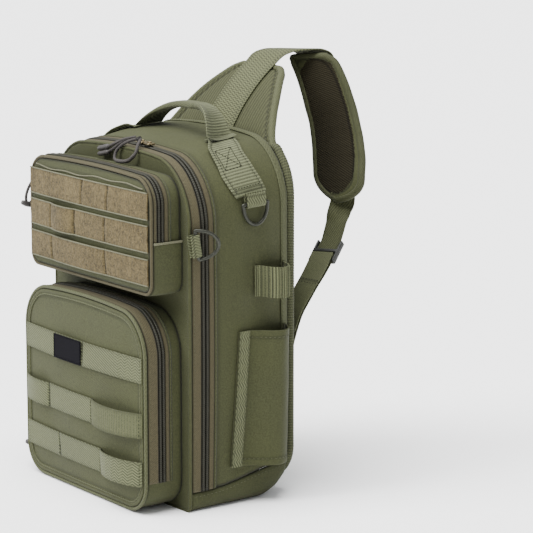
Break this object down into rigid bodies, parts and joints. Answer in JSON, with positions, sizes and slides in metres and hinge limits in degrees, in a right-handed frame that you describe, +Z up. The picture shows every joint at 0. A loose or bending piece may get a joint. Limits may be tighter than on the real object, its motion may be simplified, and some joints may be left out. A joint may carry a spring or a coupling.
{
  "type": "fishing sling backpack",
  "caption": "Soft olive fishing sling backpack with a hollow arched main compartment, two zipped front pockets, a leaning yoke, one padded strap, a carry handle and a rod holder.",
  "frame": {"origin": "centre of the flat base, on the surface it stands on, in line with the body's middle in width", "axes": "+Z up, -Y out of the front pockets, +X to the side with the rod holder"},
  "size_m": [0.2962, 0.3038, 0.4505],
  "materials": {
    "body_fabric": "coated woven nylon, olive",
    "sage_webbing": "woven webbing, grey green",
    "loop_fabric": "hook-and-loop pile, khaki",
    "zip_tape": "coil zip with woven tape, brown",
    "mesh_lining": "air mesh over foam, dark brown",
    "label": "bare woven label patch, black",
    "pull_cord": "braided cord, grey",
    "buckle_plastic": "moulded acetal, dark olive",
    "ring_steel": "coated wire, grey green",
    "slider_brass": "worn antique brass"
  },
  "bodies": {
    "root": {"body_gusset": "body_fabric", "base_boot": "body_fabric", "front_panel": "body_fabric", "back_pad": "body_fabric", "yoke_panel": "body_fabric", "lower_pocket_gusset": "body_fabric", "lower_pocket_face": "body_fabric", "upper_pocket_gusset": "body_fabric", "upper_pocket_face": "body_fabric", "upper_pocket_boot": "body_fabric", "rod_sleeve": "body_fabric", "strap_webbing": "body_fabric", "strap_anchor": "body_fabric", "webbing_row_1": "sage_webbing", "webbing_row_2": "sage_webbing", "webbing_row_3": "sage_webbing", "lower_pocket_piping": "sage_webbing", "side_strap_right": "sage_webbing", "side_strap_left": "sage_webbing", "side_ring_tab_right": "sage_webbing", "side_ring_tab_left": "sage_webbing", "zip_ring_tab_right": "sage_webbing", "zip_ring_tab_left": "sage_webbing", "carry_handle": "sage_webbing", "rod_loop": "sage_webbing", "rod_sleeve_tape": "sage_webbing", "yoke_webbing": "sage_webbing", "loop_band_1": "loop_fabric", "loop_band_2": "loop_fabric", "loop_band_3": "loop_fabric", "main_zip": "zip_tape", "lower_pocket_zip": "zip_tape", "upper_pocket_zip": "zip_tape", "shoulder_pad": "mesh_lining", "label_patch": "label", "main_zip_pull_right": "pull_cord", "main_zip_pull_left": "pull_cord", "upper_zip_pull": "pull_cord", "lower_zip_pull": "pull_cord", "tri_glide": "buckle_plastic", "side_d_ring_right": "ring_steel", "side_d_ring_left": "ring_steel", "zip_d_ring_right": "ring_steel", "zip_d_ring_left": "ring_steel", "main_zip_slider_right": "slider_brass", "main_zip_slider_left": "slider_brass", "upper_zip_slider": "slider_brass", "lower_zip_slider": "slider_brass"}
  },
  "joints": []
}
